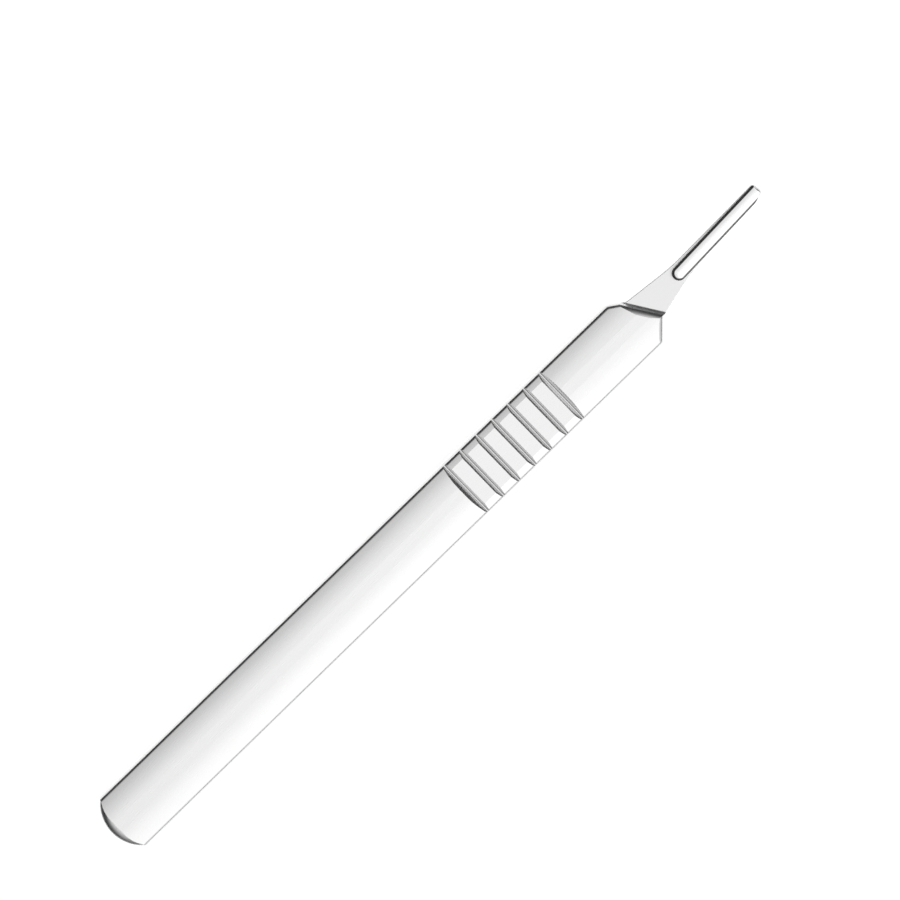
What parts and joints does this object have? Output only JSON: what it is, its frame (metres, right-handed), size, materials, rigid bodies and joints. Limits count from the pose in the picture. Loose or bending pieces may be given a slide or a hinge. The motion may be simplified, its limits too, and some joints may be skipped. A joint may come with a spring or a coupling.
{
  "type": "scalpel handle",
  "caption": "Flat one-piece steel scalpel handle with a rounded butt, a ribbed grip and a thin tang whose grooved key holds a small detachable blade.",
  "frame": {"origin": "under the middle of the handle's length and width, on the plane that its flat underside rests on", "axes": "+X along the handle towards the blade, +Y towards the edge that the tang leans to, +Z out of the face that takes the blade"},
  "size_m": [0.125, 0.0092, 0.0025],
  "materials": {
    "satin_steel": "satin"
  },
  "bodies": {
    "root": {"scalpel_handle": "satin_steel"}
  },
  "joints": []
}
